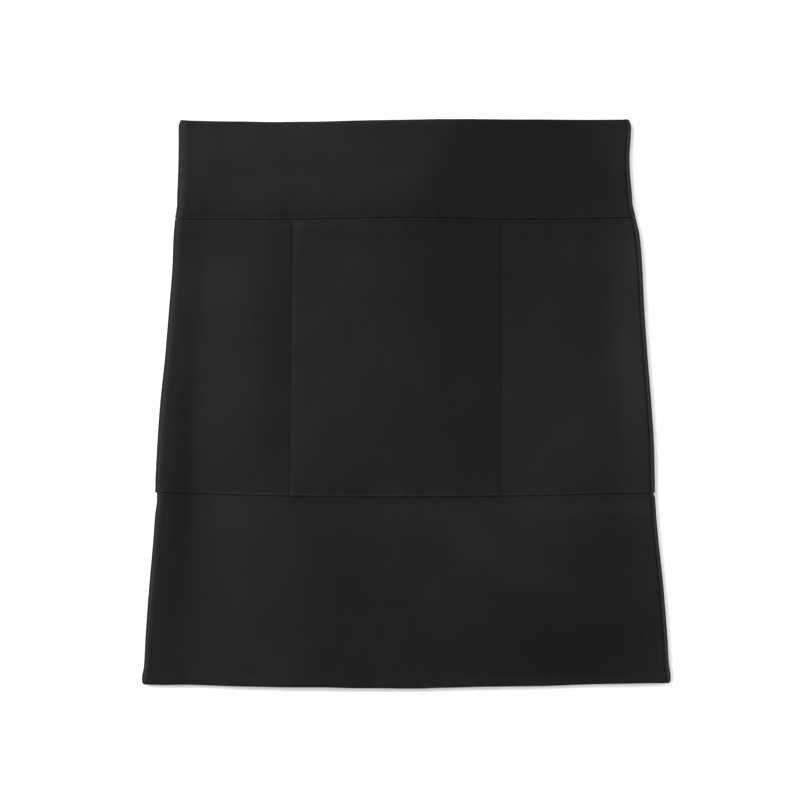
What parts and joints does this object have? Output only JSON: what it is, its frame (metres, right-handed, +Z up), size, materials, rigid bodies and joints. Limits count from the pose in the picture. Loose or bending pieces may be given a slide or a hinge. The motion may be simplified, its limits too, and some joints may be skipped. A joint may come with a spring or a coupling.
{
  "type": "waist apron",
  "caption": "Short cloth waist apron with a wide waistband and a full-width divided front pocket, lying flat with its sides folded behind.",
  "frame": {"origin": "on the surface it lies on, under the middle of the apron's box", "axes": "+X to the viewer's right, +Y from the hem to the waist, +Z up off the surface, through the front"},
  "size_m": [0.476, 0.5125, 0.0221],
  "materials": {
    "skirt_cloth": "matte twill",
    "pocket_cloth": "matte twill",
    "band_cloth": "matte twill",
    "tie_cloth": "matte twill"
  },
  "bodies": {
    "root": {"apron_panel": "skirt_cloth", "pocket_panel": "pocket_cloth", "waistband": "band_cloth", "tie_left": "tie_cloth", "tie_right": "tie_cloth"}
  },
  "joints": []
}
